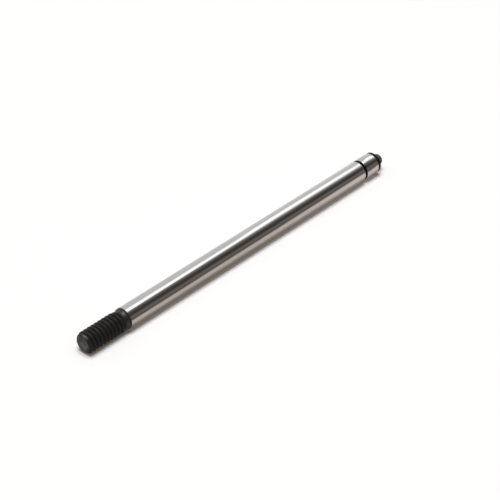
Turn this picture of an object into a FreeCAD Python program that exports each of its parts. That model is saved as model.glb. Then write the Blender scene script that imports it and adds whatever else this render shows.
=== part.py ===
import FreeCAD, Part
import math
import os

# A shock shaft, turned from one steel bar. The screw thread is at the -X end, the piston end at +X.
# The axis is X, and the origin is on it, halfway along the ground rod. Lengths are in millimetres.

# Ground rod, which slides in the shock's bushing and seals
rod_dia = 3.175
rod_length = 47.3
rod_lead_length = 0.08  # taper where grinding ran out beside the collar

# Collar between the rod and the thread, a little under the ground size so that it passes the seals
collar_dia = 3.15
collar_length = 0.7
collar_cone_length = 0.4  # the part of its length over which it rises from the relief

# Plain blank left between the last turn of the thread and the collar
relief_dia = 2.76
relief_length = 0.6

# Screw thread, right handed, 40 turns to the inch with flanks at 60 degrees
thread_major_dia = 3.13
thread_pitch = 0.635
thread_length = 6.15
thread_depth = 0.36
thread_root_flat = 0.1
thread_taper_length = 0.45  # where the last crest falls to the relief
flank_half_angle = 30.0
thread_runout_turns = 0.9
thread_turned = 265.0  # turns the thread about the axis, in degrees
tip_dia = 2.4  # flat end of the screw, inside its 45 degree chamfer

# Groove for the spring clip below the piston
groove_dia = 2.4
groove_width = 0.5

# Band that carries the piston, the same ground diameter as the rod
seat_length = 2.42

# Black land after the band, turned just under the ground size and left unground
end_land_dia = 3.12
end_land_length = 0.6
end_land_edge = 0.1

# Stub beyond the land: a neck for the second clip, and a small round-ended head that holds it
neck_dia = 1.3
neck_width = 0.35
head_dia = 1.7
head_length = 0.95
head_rounding = 0.45

# Sharp corners of the groove are broken by this much
edge_break = 0.04

# How far the thread's cutting shape passes the surface it cuts, and overlaps its own run-out
cutter_margin = 0.04
cutter_overlap_turns = 0.02

full_circle = 360.0
middle_of_quarter = 45.0

# Radii worked out from the diameters
rod_radius = rod_dia / 2
collar_radius = collar_dia / 2
relief_radius = relief_dia / 2
thread_radius = thread_major_dia / 2
thread_root_radius = thread_radius - thread_depth
tip_radius = tip_dia / 2
groove_radius = groove_dia / 2
end_land_radius = end_land_dia / 2
neck_radius = neck_dia / 2
head_radius = head_dia / 2

# Places along the axis, from the screw's end to the piston end
rod_start = -rod_length / 2
rod_end = rod_length / 2
collar_start = rod_start - collar_length
thread_end = collar_start - relief_length
tip_face = thread_end - thread_length
seat_start = rod_end + groove_width
seat_end = seat_start + seat_length
neck_start = seat_end + end_land_length
head_start = neck_start + neck_width
head_face = head_start + head_length


def point(x, radius):
    return FreeCAD.Vector(x, 0, radius)


def turned_blank():
    """The bar as it leaves the lathe, before the thread is rolled."""
    side = Part.makePolygon([
        point(head_face, 0),
        point(tip_face, 0),
        point(tip_face, tip_radius),
        point(tip_face + thread_radius - tip_radius, thread_radius),
        point(thread_end, thread_radius),
        point(thread_end + thread_taper_length, relief_radius),
        point(collar_start, relief_radius),
        point(collar_start + collar_cone_length, collar_radius),
        point(rod_start, collar_radius),
        point(rod_start + rod_lead_length, rod_radius),
        point(rod_end - edge_break, rod_radius),
        point(rod_end, rod_radius - edge_break),
        point(rod_end, groove_radius),
        point(seat_start, groove_radius),
        point(seat_start, rod_radius - edge_break),
        point(seat_start + edge_break, rod_radius),
        point(seat_end, rod_radius),
        point(seat_end, end_land_radius),
        point(neck_start - end_land_edge, end_land_radius),
        point(neck_start, end_land_radius - end_land_edge),
        point(neck_start, neck_radius),
        point(head_start, neck_radius),
        point(head_start, head_radius),
        point(head_face - head_rounding, head_radius),
    ])
    across = head_rounding * math.sin(math.radians(middle_of_quarter))
    rounding = Part.Arc(
        point(head_face - head_rounding, head_radius),
        point(head_face - head_rounding + across, head_radius - head_rounding + across),
        point(head_face, head_radius - head_rounding),
    ).toShape()
    end = Part.makeLine(point(head_face, head_radius - head_rounding), point(head_face, 0))
    section = Part.Face(Part.Wire([*side.Edges, rounding, end]))
    return section.revolve(FreeCAD.Vector(0, 0, 0), FreeCAD.Vector(1, 0, 0), full_circle)


def helical_groove(turns, rise, start, turned):
    """One helical cutter of the thread's V section: rise is how far it climbs out over its length."""
    flank = math.tan(math.radians(flank_half_angle))
    depth = thread_depth + cutter_margin
    half_root = thread_root_flat / 2
    half_mouth = half_root + depth * flank
    mouth_radius = thread_root_radius + depth
    corners = [
        FreeCAD.Vector(thread_root_radius, 0, -half_root),
        FreeCAD.Vector(mouth_radius, 0, -half_mouth),
        FreeCAD.Vector(mouth_radius, 0, half_mouth),
        FreeCAD.Vector(thread_root_radius, 0, half_root),
    ]
    section = Part.makePolygon(corners + corners[:1])
    height = turns * thread_pitch
    taper = math.degrees(math.atan2(rise, height))
    path = Part.makeLongHelix(thread_pitch, height, thread_root_radius, taper)
    groove = path.makePipeShell([section], True, True)
    along_x = FreeCAD.Rotation(FreeCAD.Vector(0, 0, 1), FreeCAD.Vector(1, 0, 0))
    about_x = FreeCAD.Rotation(FreeCAD.Vector(1, 0, 0), turned)
    groove.Placement = FreeCAD.Placement(FreeCAD.Vector(start, 0, 0), about_x * along_x)
    return groove


def cut_thread(blank):
    """Cuts the full turns from beyond the tip to the thread's end, then the turn that fades out."""
    full_turns = thread_length / thread_pitch + 1
    full_start = thread_end - full_turns * thread_pitch
    full = helical_groove(full_turns, 0, full_start, thread_turned)
    lap = cutter_overlap_turns
    climb = relief_radius - thread_root_radius + cutter_margin
    fade_start = thread_end - lap * thread_pitch
    fade_angle = thread_turned + full_circle * (full_turns - lap)
    fade = helical_groove(thread_runout_turns, climb, fade_start, fade_angle)
    return blank.cut(full).cut(fade)


os.makedirs("parts", exist_ok=True)
shock_shaft = cut_thread(turned_blank())
shock_shaft.exportStep("parts/shock_shaft.step")
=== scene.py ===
import math

import bmesh
import bpy
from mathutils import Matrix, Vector


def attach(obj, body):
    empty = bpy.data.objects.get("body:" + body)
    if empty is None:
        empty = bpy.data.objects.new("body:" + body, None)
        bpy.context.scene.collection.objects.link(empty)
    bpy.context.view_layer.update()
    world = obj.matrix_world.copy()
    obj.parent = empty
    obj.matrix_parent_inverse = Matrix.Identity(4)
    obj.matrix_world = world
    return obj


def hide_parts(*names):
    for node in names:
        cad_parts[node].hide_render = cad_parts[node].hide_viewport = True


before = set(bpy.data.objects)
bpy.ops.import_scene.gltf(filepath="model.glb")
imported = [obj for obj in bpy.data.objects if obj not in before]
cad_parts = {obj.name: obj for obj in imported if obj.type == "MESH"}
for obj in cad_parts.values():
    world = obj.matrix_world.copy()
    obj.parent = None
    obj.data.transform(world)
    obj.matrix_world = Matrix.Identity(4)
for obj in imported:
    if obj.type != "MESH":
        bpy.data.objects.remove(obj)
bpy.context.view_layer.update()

print("frame loaded")

millimetre = 0.001
fullTurn = 2 * math.pi
axisX = Vector((1, 0, 0))
zero = Vector((0, 0, 0))


# Socket arithmetic for the materials
class Wire:
    def __init__(self, graph, socket):
        self.graph = graph
        self.socket = socket

    def combine(self, operation, first, second):
        kind = self.socket.type
        if kind == "RGBA":
            return self.graph.mix(operation, 1.0, first, second)
        maths = "ShaderNodeVectorMath" if kind == "VECTOR" else "ShaderNodeMath"
        return self.graph.node(maths, {"operation": operation}, {0: first, 1: second})

    def __add__(self, other):
        return self.combine("ADD", self, other)

    def __radd__(self, other):
        return self.combine("ADD", other, self)

    def __sub__(self, other):
        return self.combine("SUBTRACT", self, other)

    def __rsub__(self, other):
        return self.combine("SUBTRACT", other, self)

    def __mul__(self, other):
        return self.combine("MULTIPLY", self, other)

    def __rmul__(self, other):
        return self.combine("MULTIPLY", other, self)

    def __truediv__(self, other):
        return self.combine("DIVIDE", self, other)

    def __rtruediv__(self, other):
        return self.combine("DIVIDE", other, self)


class Graph:
    def __init__(self, material):
        material.use_nodes = True
        self.tree = material.node_tree
        self.tree.nodes.clear()

    def node(self, kind, settings=None, inputs=None, output=0):
        made = self.tree.nodes.new(kind)
        for name, value in (settings or {}).items():
            if name == "stops":
                self.fillRamp(made.color_ramp, value)
            else:
                setattr(made, name, value)
        for name, value in (inputs or {}).items():
            self.feed(made.inputs[name], value)
        return Wire(self, made.outputs[output])

    def fillRamp(self, ramp, stops):
        while len(ramp.elements) < len(stops):
            ramp.elements.new(1.0)
        for element, (place, colour) in zip(ramp.elements, stops):
            element.position = place
            element.color = (*colour, 1.0)

    def feed(self, socket, value):
        if isinstance(value, Wire):
            self.tree.links.new(value.socket, socket)
        elif socket.type == "RGBA" and len(value) == 3:
            socket.default_value = (*value, 1.0)
        elif socket.type == "VECTOR" and not hasattr(value, "__len__"):
            socket.default_value = (value, value, value)
        else:
            socket.default_value = value

    def surface(self, shader):
        out = self.tree.nodes.new("ShaderNodeOutputMaterial")
        self.tree.links.new(shader.socket, out.inputs["Surface"])

    def place(self):  # object coordinates, in metres
        return self.node("ShaderNodeTexCoord", output="Object")

    def finePlace(self):  # the same in millimetres
        return self.place() * (1 / millimetre)

    def split(self, vector):
        parts = self.tree.nodes.new("ShaderNodeSeparateXYZ")
        self.tree.links.new(vector.socket, parts.inputs[0])
        return [Wire(self, part) for part in parts.outputs]

    def noise(self, vector, scale=1.0, detail=2.0, roughness=0.5):
        inputs = {"Vector": vector, "Scale": scale, "Detail": detail, "Roughness": roughness}
        return self.node("ShaderNodeTexNoise", {"noise_dimensions": "3D"}, inputs)

    def between(self, value, low, high, outLow=0.0, outHigh=1.0):
        inputs = {0: value, 1: low, 2: high, 3: outLow, 4: outHigh}
        return self.node("ShaderNodeMapRange", {"clamp": True}, inputs)

    def mix(self, kind, factor, first, second):  # the colours are sockets 6 and 7, and output 2
        settings = {"data_type": "RGBA", "blend_type": kind}
        return self.node("ShaderNodeMix", settings, {0: factor, 6: first, 7: second}, 2)

    def blend(self, factor, first, second):
        return self.mix("MIX", factor, first, second)


# The shaft, in millimetres, from the screw's tip at -X to the small head at +X
shaftSizes = {
    "rodRadius": 1.5875,
    "rodLength": 47.3,
    "rodLead": 0.08,  # taper beside the collar
    "rodEdge": 0.04,
    "collarRadius": 1.575,
    "collarLength": 0.7,
    "collarSlope": 0.4,
    "collarRounding": 0.05,
    "reliefRadius": 1.38,
    "reliefLength": 0.6,
    "taperLength": 0.45,  # over which the last crest falls to the relief
    "threadRadius": 1.565,
    "threadPitch": 0.635,
    "threadLength": 6.15,
    "threadDepth": 0.36,
    "threadRootFlat": 0.1,
    "flankHalfAngle": math.radians(30),
    "threadTurned": math.radians(175),  # where the groove opens at the tip, from +Y towards +Z
    "threadRounding": 0.035,
    "runoutTurns": 0.9,
    "tipRadius": 1.2,
    "tipInset": 0.06,
    "grooveRadius": 1.2,
    "grooveWidth": 0.5,
    "grooveRounding": 0.03,
    "seatLength": 2.42,
    "seatEdge": 0.015,
    "landRadius": 1.56,
    "landLength": 0.6,
    "landEdge": 0.1,
    "landRounding": 0.02,
    "neckRadius": 0.65,
    "neckWidth": 0.35,
    "neckRounding": 0.04,
    "headRadius": 0.85,
    "headLength": 0.95,
    "headFootRounding": 0.05,
    "headRounding": 0.45,
    # how finely it is meshed
    "segments": 120,
    "roundingSegments": 3,
    "flankCuts": 2,
    "mergeWithin": 0.0005,
    "cutWithin": 0.00001,
    "joinBeforeCollar": 0.08,  # where the thread's mesh meets the turned one
    "joinWithin": 0.001,
    "strayTurn": 0.02,  # a cut point this far off a segment's line, in segments, is dissolved
    "sharpFrom": math.radians(35),
    # which faces take the bright look and the tip's look
    "groundDepth": 0.05,  # how far under the rod's radius
    "tipDepth": 0.05,  # how far behind the flat end
    "tipFacing": 0.9,  # how squarely they face -X, from 0 to 1
}


def stations(s):  # places along the axis
    rodStart = -s["rodLength"] / 2
    rodEnd = s["rodLength"] / 2
    collarStart = rodStart - s["collarLength"]
    threadEnd = collarStart - s["reliefLength"]
    tipFace = threadEnd - s["threadLength"]
    seatStart = rodEnd + s["grooveWidth"]
    seatEnd = seatStart + s["seatLength"]
    neckStart = seatEnd + s["landLength"]
    headStart = neckStart + s["neckWidth"]
    headFace = headStart + s["headLength"]
    return {
        "rodStart": rodStart, "rodEnd": rodEnd, "collarStart": collarStart, "threadEnd": threadEnd,
        "tipFace": tipFace, "seatStart": seatStart, "seatEnd": seatEnd, "neckStart": neckStart,
        "headStart": headStart, "headFace": headFace,
    }


def onlyVerts(geometry):
    return [g for g in geometry if isinstance(g, bmesh.types.BMVert)]


def drawWire(bm, points, segments):  # points are (x, radius, rounding)
    verts = [bm.verts.new((x, radius, 0)) for x, radius, rounding in points]
    for pair in zip(verts, verts[1:]):
        bm.edges.new(pair)
    for size in sorted({point[2] for point in points if point[2] > 0}):
        corners = [v for v, point in zip(verts, points) if point[2] == size]
        bmesh.ops.bevel(bm, geom=corners, offset=size, offset_type="OFFSET", segments=segments,
                        profile=0.5, affect="VERTICES", clamp_overlap=True, material=-1)
    return bm.verts[:] + bm.edges[:]


def threadedPart(s, at, joinAt):
    bm = bmesh.new()
    pitch = s["threadPitch"]
    crest = s["threadRadius"]
    rounding = s["threadRounding"]
    flank = s["threadDepth"] * math.tan(s["flankHalfAngle"])
    root = crest - s["threadDepth"]
    halfRoot = s["threadRootFlat"] / 2
    grooveStart = at["tipFace"] - s["threadTurned"] / fullTurn * pitch
    start = grooveStart - math.ceil((grooveStart - at["tipFace"]) / pitch + 1) * pitch
    turns = math.ceil((joinAt - start) / pitch) + 1
    drawWire(bm, [
        (start, root, 0),
        (start + halfRoot, root, rounding),
        (start + halfRoot + flank, crest, rounding),
        (start + pitch - halfRoot - flank, crest, rounding),
        (start + pitch - halfRoot, root, rounding),
        (start + pitch, root, 0),
    ], s["roundingSegments"])
    flanks = [e for e in bm.edges if e.calc_length() > flank]
    bmesh.ops.subdivide_edges(bm, edges=flanks, cuts=s["flankCuts"])
    bmesh.ops.spin(bm, geom=bm.verts[:] + bm.edges[:], cent=zero, axis=axisX, angle=fullTurn,
                   steps=s["segments"], dvec=(pitch / s["segments"], 0, 0),
                   use_merge=False, use_duplicate=False)
    oneTurn = bm.verts[:] + bm.edges[:] + bm.faces[:]
    for turn in range(1, turns):
        copied = bmesh.ops.duplicate(bm, geom=oneTurn)["geom"]
        bmesh.ops.translate(bm, vec=(turn * pitch, 0, 0), verts=onlyVerts(copied))
    bmesh.ops.remove_doubles(bm, verts=bm.verts, dist=s["mergeWithin"])
    climb = (s["reliefRadius"] - root) / s["runoutTurns"]
    for v in bm.verts:  # the chamfer at the tip, the last crest's fall, and the groove climbing out after it
        radius = math.hypot(v.co.y, v.co.z)
        chamfer = s["tipRadius"] + v.co.x - at["tipFace"]
        pastThread = max(0.0, v.co.x - at["threadEnd"]) / s["taperLength"]
        shoulder = crest - min(pastThread, 1.0) * (crest - s["reliefRadius"])
        along = (v.co.x - start) / pitch - (math.atan2(v.co.z, v.co.y) % fullTurn) / fullTurn
        fromGroove = (along - round(along)) * pitch
        pastEnd = max(0.0, (v.co.x - fromGroove - at["threadEnd"]) / pitch)
        wanted = min(radius + pastEnd * climb, chamfer, shoulder, crest)
        v.co.y *= wanted / radius
        v.co.z *= wanted / radius
    step = fullTurn / s["segments"]
    for place, keepBeyond in ((at["tipFace"], True), (joinAt, False)):
        geometry = bm.verts[:] + bm.edges[:] + bm.faces[:]
        cut = bmesh.ops.bisect_plane(bm, geom=geometry, dist=s["cutWithin"], plane_co=(place, 0, 0),
                                     plane_no=axisX, clear_inner=keepBeyond, clear_outer=not keepBeyond)
        stray = []
        for v in onlyVerts(cut["geom_cut"]):
            angle = math.atan2(v.co.z, v.co.y) / step
            if abs(angle - round(angle)) > s["strayTurn"]:
                stray.append(v)
        bmesh.ops.dissolve_verts(bm, verts=stray)
    print("thread made,", turns, "turns before its ends are cut")
    return bm


def turnedPart(s, at, joinAt):
    bm = bmesh.new()
    rod = s["rodRadius"]
    geometry = drawWire(bm, [
        (joinAt, s["reliefRadius"], 0),
        (at["collarStart"], s["reliefRadius"], s["collarRounding"]),
        (at["collarStart"] + s["collarSlope"], s["collarRadius"], s["collarRounding"]),
        (at["rodStart"], s["collarRadius"], 0),
        (at["rodStart"] + s["rodLead"], rod, 0),
        (at["rodEnd"], rod, s["rodEdge"]),
        (at["rodEnd"], s["grooveRadius"], s["grooveRounding"]),
        (at["seatStart"], s["grooveRadius"], s["grooveRounding"]),
        (at["seatStart"], rod, s["rodEdge"]),
        (at["seatEnd"], rod, s["seatEdge"]),
        (at["seatEnd"], s["landRadius"], 0),
        (at["neckStart"] - s["landEdge"], s["landRadius"], s["landRounding"]),
        (at["neckStart"], s["landRadius"] - s["landEdge"], s["landRounding"]),
        (at["neckStart"], s["neckRadius"], s["neckRounding"]),
        (at["headStart"], s["neckRadius"], s["neckRounding"]),
        (at["headStart"], s["headRadius"], s["headFootRounding"]),
        (at["headFace"], s["headRadius"], s["headRounding"]),
        (at["headFace"], 0, 0),
    ], s["roundingSegments"])
    bmesh.ops.spin(bm, geom=geometry, cent=zero, axis=axisX, angle=fullTurn, steps=s["segments"],
                   dvec=zero, use_merge=True, use_duplicate=False)
    bmesh.ops.remove_doubles(bm, verts=bm.verts, dist=s["mergeWithin"])
    return bm


def finishOf(face, s, at):  # the name of the look that a face carries
    middle = face.calc_center_median()
    radius = math.hypot(middle.y, middle.z)
    onRod = at["rodStart"] + s["rodLead"] / 2 < middle.x < at["rodEnd"]
    onSeat = at["seatStart"] < middle.x < at["seatEnd"]
    if (onRod or onSeat) and radius > s["rodRadius"] - s["groundDepth"]:
        return "groundSteel"
    if at["rodEnd"] <= middle.x <= at["neckStart"]:
        return "mattOxide"
    if at["collarStart"] < middle.x < at["collarStart"] + s["collarSlope"]:
        return "handledOxide"
    if face.normal.x < -s["tipFacing"] and middle.x < at["tipFace"] + s["tipDepth"]:
        return "tipOxide"
    if middle.x > at["headStart"]:
        return "stubOxide"
    return "rolledOxide"


def buildShaft(s, finishes):  # finishes are the looks' names in the order of the slots
    at = stations(s)
    joinAt = at["collarStart"] - s["joinBeforeCollar"]
    bm = threadedPart(s, at, joinAt)
    turned = turnedPart(s, at, joinAt)
    rest = bpy.data.meshes.new("turnedPart")
    turned.to_mesh(rest)
    turned.free()
    bm.from_mesh(rest)
    bpy.data.meshes.remove(rest)
    bmesh.ops.remove_doubles(bm, verts=bm.verts, dist=s["joinWithin"])
    tipEdges = [e for e in bm.edges if e.is_boundary]
    tip = bmesh.ops.edgeloop_fill(bm, edges=tipEdges)["faces"]
    bmesh.ops.inset_region(bm, faces=tip, thickness=s["tipInset"], depth=0.0)
    bmesh.ops.recalc_face_normals(bm, faces=bm.faces)
    for f in bm.faces:
        f.smooth = True
        f.material_index = finishes.index(finishOf(f, s, at))
    for e in bm.edges:
        if len(e.link_faces) == 2 and e.calc_face_angle() > s["sharpFrom"]:
            e.smooth = False
    bmesh.ops.scale(bm, vec=(millimetre,) * 3, verts=bm.verts)
    mesh = bpy.data.meshes.new("shaftBody")
    bm.to_mesh(mesh)
    print("shaft: faces", len(bm.faces), "open edges", sum(e.is_boundary for e in bm.edges))
    bm.free()
    piece = bpy.data.objects.new("shaftBody", mesh)
    bpy.context.scene.collection.objects.link(piece)
    return piece


# The shaft's looks, in the order of its material slots, with places and widths in millimetres
shaftLooks = {
    "groundSteel": {  # rod and piston band
        "colour": (0.485, 0.478, 0.472),
        "shade": 0.95,  # how dark the broad patches are beside the colour
        "shadeStretch": (0.35, 0.9, 0.9),
        "shadeFrom": 0.35,
        "shadeTo": 0.65,
        "ringStretch": (16.0, 0.5, 0.5),  # fine grinding rings round the rod
        "ringDetail": 3.0,
        "ringFrom": 0.25,
        "ringTo": 0.75,
        "roughness": 0.12,
        "smoother": 0.03,
        "rougher": 0.05,
        "bump": 0.12,
        "bumpDepth": 0.000004,  # in metres
    },
    "rolledOxide": {  # thread, relief and collar, with a painted highlight on the chamfer's upper edge
        "colour": (0.0185, 0.017, 0.0162),
        "worn": (0.026, 0.0242, 0.0235),
        "wornFrom": 0.45,
        "wornTo": 0.75,
        "blotchScale": 1.6,
        "roughness": 0.42,
        "specular": 0.11,
        # painted highlight on the chamfer's upper edge, where the overhead light falls
        "paleSpot": {
            "middle": (-30.87, -0.2, 1.38),
            "stretch": (3.5, 1.0, 1.0),
            "inner": 0.15,
            "outer": 0.8,
            "colour": (0.15, 0.141, 0.141),
        },
    },
    "mattOxide": {  # clip groove and end land
        "colour": (0.006, 0.0058, 0.0058),
        "worn": (0.012, 0.0115, 0.011),
        "wornFrom": 0.45,
        "wornTo": 0.75,
        "blotchScale": 1.6,
        "roughness": 0.5,
        "specular": 0.1,
        "paleSpot": None,
    },
    "handledOxide": {  # cone of the collar
        "colour": (0.012, 0.0112, 0.011),
        "worn": (0.04, 0.037, 0.036),
        "wornFrom": 0.38,
        "wornTo": 0.66,
        "blotchScale": 1.5,
        "roughness": 0.36,
        "specular": 0.32,
        "paleSpot": None,
    },
    "tipOxide": {  # flat end of the screw, paler about its middle
        "colour": (0.009, 0.0084, 0.008),
        "worn": (0.05, 0.047, 0.045),
        "wornFrom": 0.36,
        "wornTo": 0.62,
        "blotchScale": 1.9,
        "roughness": 0.42,
        "specular": 0.13,
        "paleSpot": {
            "middle": (-31.1, -0.2, -0.15),
            "stretch": (1.0, 1.0, 1.0),
            "inner": 0.2,
            "outer": 1.0,
            "colour": (0.1, 0.094, 0.09),
        },
    },
    "stubOxide": {  # small head
        "colour": (0.044, 0.047, 0.043),
        "worn": (0.075, 0.078, 0.073),
        "wornFrom": 0.38,
        "wornTo": 0.66,
        "blotchScale": 1.9,
        "roughness": 0.45,
        "specular": 0.2,
        "paleSpot": None,
    },
}

# What all the black oxide looks share
oxideGrain = {
    "scale": 9.0,
    "detail": 4.0,
    "harshness": 0.6,
    "from": 0.3,
    "to": 0.7,
    "smoother": 0.08,
    "rougher": 0.1,
    "bump": 0.25,
    "bumpDepth": 0.00001,  # in metres
    "blotchDetail": 3.0,
    "patchFrom": 0.3,  # the pale spots, such as the painted highlight on the chamfer, are broken up between these
    "patchTo": 0.52,
}


def groundSteel(name, look):
    material = bpy.data.materials.new(name)
    g = Graph(material)
    place = g.finePlace()
    rings = g.noise(place * look["ringStretch"], detail=look["ringDetail"])
    broad = g.noise(place * look["shadeStretch"])
    smoothest = look["roughness"] - look["smoother"]
    roughest = look["roughness"] + look["rougher"]
    roughness = g.between(rings, look["ringFrom"], look["ringTo"], smoothest, roughest)
    darker = tuple(c * look["shade"] for c in look["colour"])
    colour = g.blend(g.between(broad, look["shadeFrom"], look["shadeTo"]), look["colour"], darker)
    inputs = {"Strength": look["bump"], "Distance": look["bumpDepth"], "Height": rings}
    bump = g.node("ShaderNodeBump", None, inputs)
    shader = g.node("ShaderNodeBsdfPrincipled", None, {
        "Base Color": colour, "Metallic": 1.0, "Roughness": roughness, "Normal": bump,
    })
    g.surface(shader)
    return material


def blackOxide(name, look):
    material = bpy.data.materials.new(name)
    g = Graph(material)
    place = g.finePlace()
    grain = g.noise(place, oxideGrain["scale"], oxideGrain["detail"], oxideGrain["harshness"])
    blotch = g.noise(place, look["blotchScale"], oxideGrain["blotchDetail"])
    colour = g.blend(g.between(blotch, look["wornFrom"], look["wornTo"]), look["colour"], look["worn"])
    # a pale spot set by place; on the thread's chamfer it is a painted highlight
    paleSpot = look["paleSpot"]
    if paleSpot:
        offset = (place - paleSpot["middle"]) * paleSpot["stretch"]
        away = g.node("ShaderNodeVectorMath", {"operation": "LENGTH"}, {0: offset}, "Value")
        patches = g.between(blotch, oxideGrain["patchFrom"], oxideGrain["patchTo"])
        reach = g.between(away, paleSpot["outer"], paleSpot["inner"]) * patches
        colour = g.blend(reach, colour, paleSpot["colour"])
    smoothest = look["roughness"] - oxideGrain["smoother"]
    roughest = look["roughness"] + oxideGrain["rougher"]
    roughness = g.between(grain, oxideGrain["from"], oxideGrain["to"], smoothest, roughest)
    inputs = {"Strength": oxideGrain["bump"], "Distance": oxideGrain["bumpDepth"], "Height": grain}
    bump = g.node("ShaderNodeBump", None, inputs)
    shader = g.node("ShaderNodeBsdfPrincipled", None, {
        "Base Color": colour, "Metallic": 0.0, "Roughness": roughness, "Normal": bump,
        "Specular IOR Level": look["specular"],
    })
    g.surface(shader)
    return material


shaft = buildShaft(shaftSizes, list(shaftLooks))
for finishName, finishLook in shaftLooks.items():
    makeFinish = groundSteel if finishName == "groundSteel" else blackOxide
    shaft.data.materials.append(makeFinish(finishName, finishLook))
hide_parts("shock_shaft")
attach(shaft, "root")
print("shaft built")

# The studio, in metres
studio = {
    "floorColour": (0.97, 0.97, 0.97),
    "floorRadius": 2.4,
    "floorSegments": 64,
    "ambientColour": (0.335, 0.287, 0.24),  # lights the floor and the black finish
    "mirroredColour": (1.0, 1.0, 1.0),  # seen by the camera and in the metal
    "panelHeight": 0.8,
    "panelAlong": (-0.26, 0.20),  # from and to along X
    "panelAcross": (-0.17, 0.20),  # from and to along Y
    "panelColour": (0.975, 1.003, 1.04),
    "panelLevel": 9.8,
    "stripHeight": 0.4,
    "stripOutline": [(0.14, -0.063), (0.345, 0.03), (0.62, 0.05), (0.62, 0.315), (0.387, 0.3),
                     (0.338, 0.199), (0.3, 0.163), (0.14, 0.15)],
    "stripLevel": 2.18,
    "cardAway": 0.0097,  # how far the standing card is from the shaft's axis
    "cardGradeTop": 0.0625,  # where its grades end
    "cardEnds": (-0.08, 0.12),
    "cardTops": (0.0272, 0.1032),  # at either end
    "standingStops": [  # from its foot to its grades' top; a painted reflection of dark surroundings, seen only in the metal
        (0.0, (0.16, 0.145, 0.13)),
        (0.08, (0.25, 0.22, 0.2)),
        (0.15, (0.064, 0.055, 0.05)),
        (0.271, (0.117, 0.106, 0.102)),
        (0.433, (0.236, 0.226, 0.222)),
        (0.6, (0.3, 0.29, 0.29)),
        (1.0, (0.48, 0.47, 0.47)),
    ],
    "lyingStops": [  # from under the rod to the standing card; its dark grades under the rod are a painted shadow, seen only in the metal
        (0.0, (0.13, 0.115, 0.1)),
        (0.163, (0.305, 0.275, 0.248)),
        (0.224, (0.51, 0.465, 0.44)),
        (0.3, (0.755, 0.68, 0.645)),
        (0.41, (0.8, 0.72, 0.685)),
        (1.0, (0.78, 0.67, 0.61)),
    ],
    "lyingSkew": -0.006,  # how far the grades turn towards the rod at the piston end
    "lyingGain": (0.1, 0.5),  # added brightness of the painted reflection at the two places along X in the next line
    "lyingGainAlong": (0.0, 0.035),
    "lyingGainAcross": (0.85, 0.35),  # it grows from none to all between these grades
    "lyingLift": 0.00002,
}


def setPiece(name, bm, material):
    mesh = bpy.data.meshes.new(name)
    bm.to_mesh(mesh)
    bm.free()
    piece = bpy.data.objects.new(name, mesh)
    bpy.context.scene.collection.objects.link(piece)
    piece.data.materials.append(material)
    return piece


def makeFloor(st):
    material = bpy.data.materials.new("paleFloor")
    g = Graph(material)
    g.surface(g.node("ShaderNodeBsdfDiffuse", None, {"Color": st["floorColour"]}))
    bm = bmesh.new()
    bmesh.ops.create_circle(bm, cap_ends=True, cap_tris=False, segments=st["floorSegments"],
                            radius=st["floorRadius"])
    bmesh.ops.translate(bm, vec=(0, 0, -shaftSizes["rodRadius"] * millimetre), verts=bm.verts)
    setPiece("floor", bm, material)


def onlyMirrored(piece):  # seen in the metal alone, it neither shows nor casts a shadow
    piece.visible_camera = False
    piece.visible_diffuse = False
    piece.visible_shadow = False
    piece.visible_transmission = False


def evenGlow(name, level):
    material = bpy.data.materials.new(name)
    g = Graph(material)
    g.surface(g.node("ShaderNodeEmission", None, {"Color": (1.0, 1.0, 1.0), "Strength": level}))
    return material


def standingGlow(st, foot):  # graded by height: a painted reflection, seen only in the metal
    material = bpy.data.materials.new("standingCard")
    g = Graph(material)
    height = g.split(g.place())[2]
    grade = (height - foot) / (st["cardGradeTop"] - foot)
    ramp = g.node("ShaderNodeValToRGB", {"stops": st["standingStops"]}, {0: grade})
    g.surface(g.node("ShaderNodeEmission", None, {"Color": ramp}))
    return material


def lyingGlow(st):  # graded away from the rod, and a little along it: a painted reflection of the floor, with a painted shadow under the rod
    material = bpy.data.materials.new("lyingCard")
    g = Graph(material)
    along, across = g.split(g.place())[:2]
    grade = (across + along * st["lyingSkew"]) / -st["cardAway"]
    ramp = g.node("ShaderNodeValToRGB", {"stops": st["lyingStops"]}, {0: grade})
    gain = g.between(along, *st["lyingGainAlong"], *st["lyingGain"])
    gain = gain * g.between(grade, *st["lyingGainAcross"])
    g.surface(g.node("ShaderNodeEmission", None, {"Color": ramp * (1 + gain)}))
    return material


def makeSheet(name, corners, material):
    bm = bmesh.new()
    bm.faces.new([bm.verts.new(corner) for corner in corners])
    onlyMirrored(setPiece(name, bm, material))


def makeCards(st):  # a dark graded card that stands on the near side, and a paler one that lies before it; both glow only in the metal, as painted reflections
    left, right = st["cardEnds"]
    away = -st["cardAway"]
    foot = -shaftSizes["rodRadius"] * millimetre
    leftTop, rightTop = st["cardTops"]
    corners = [(left, away, foot), (right, away, foot), (right, away, rightTop), (left, away, leftTop)]
    makeSheet("standingCard", corners, standingGlow(st, foot))
    low = foot + st["lyingLift"]
    corners = [(left, away, low), (right, away, low), (right, 0, low), (left, 0, low)]
    makeSheet("lyingCard", corners, lyingGlow(st))


def makeStrip(st):  # the bright strip that the rod mirrors as its white line
    corners = [(x, y, st["stripHeight"]) for x, y in st["stripOutline"]]
    makeSheet("stripLight", corners, evenGlow("stripLight", st["stripLevel"]))


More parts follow.
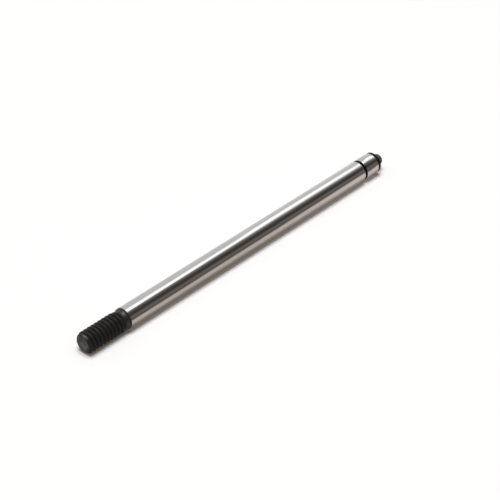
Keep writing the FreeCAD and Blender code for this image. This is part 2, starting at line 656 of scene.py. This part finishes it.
def makePanel(st):  # the soft light overhead
    light = bpy.data.lights.new("softPanel", "AREA")
    light.shape = "RECTANGLE"
    left, right = st["panelAlong"]
    near, far = st["panelAcross"]
    light.size = right - left
    light.size_y = far - near
    light.color = st["panelColour"]
    light.energy = st["panelLevel"] * math.pi * light.size * light.size_y
    panel = bpy.data.objects.new("softPanel", light)
    panel.location = ((left + right) / 2, (near + far) / 2, st["panelHeight"])
    bpy.context.scene.collection.objects.link(panel)


def makeRoom(st):
    world = bpy.data.worlds.new("room")
    bpy.context.scene.world = world
    g = Graph(world)
    path = g.tree.nodes.new("ShaderNodeLightPath").outputs
    seen = Wire(g, path["Is Camera Ray"]) + Wire(g, path["Is Glossy Ray"])
    seen = seen + Wire(g, path["Is Transmission Ray"])
    colour = g.blend(g.between(seen, 0.0, 1.0), st["ambientColour"], st["mirroredColour"])
    out = g.tree.nodes.new("ShaderNodeOutputWorld")
    back = g.node("ShaderNodeBackground", None, {"Color": colour, "Strength": 1.0})
    g.tree.links.new(back.socket, out.inputs["Surface"])


# The photograph's view, in degrees and millimetres, with the clip distances in metres
cameraView = {
    "azimuth": -46.198,
    "elevation": 37.349,
    "distance": 274.3,
    "aim": (-0.305, -0.944, -0.873),
    "lens": 140.49,
    "sensor": 36.0,
    "clipStart": 0.01,
    "clipEnd": 10,
}


def makeCamera(view):
    data = bpy.data.cameras.new("camera")
    camera = bpy.data.objects.new("camera", data)
    bpy.context.scene.collection.objects.link(camera)
    azimuth = math.radians(view["azimuth"])
    elevation = math.radians(view["elevation"])
    level = math.cos(elevation)
    back = Vector((math.sin(azimuth) * level, -math.cos(azimuth) * level, math.sin(elevation)))
    camera.location = Vector(view["aim"]) * millimetre + back * view["distance"] * millimetre
    camera.rotation_euler = (-back).to_track_quat("-Z", "Y").to_euler()
    data.sensor_width = view["sensor"]
    data.lens = view["lens"]
    data.clip_start = view["clipStart"]
    data.clip_end = view["clipEnd"]
    bpy.context.scene.camera = camera


makeFloor(studio)
makeCards(studio)
makeStrip(studio)
makePanel(studio)
makeRoom(studio)
makeCamera(cameraView)
bpy.context.scene.view_settings.view_transform = "Standard"
print("studio ready")
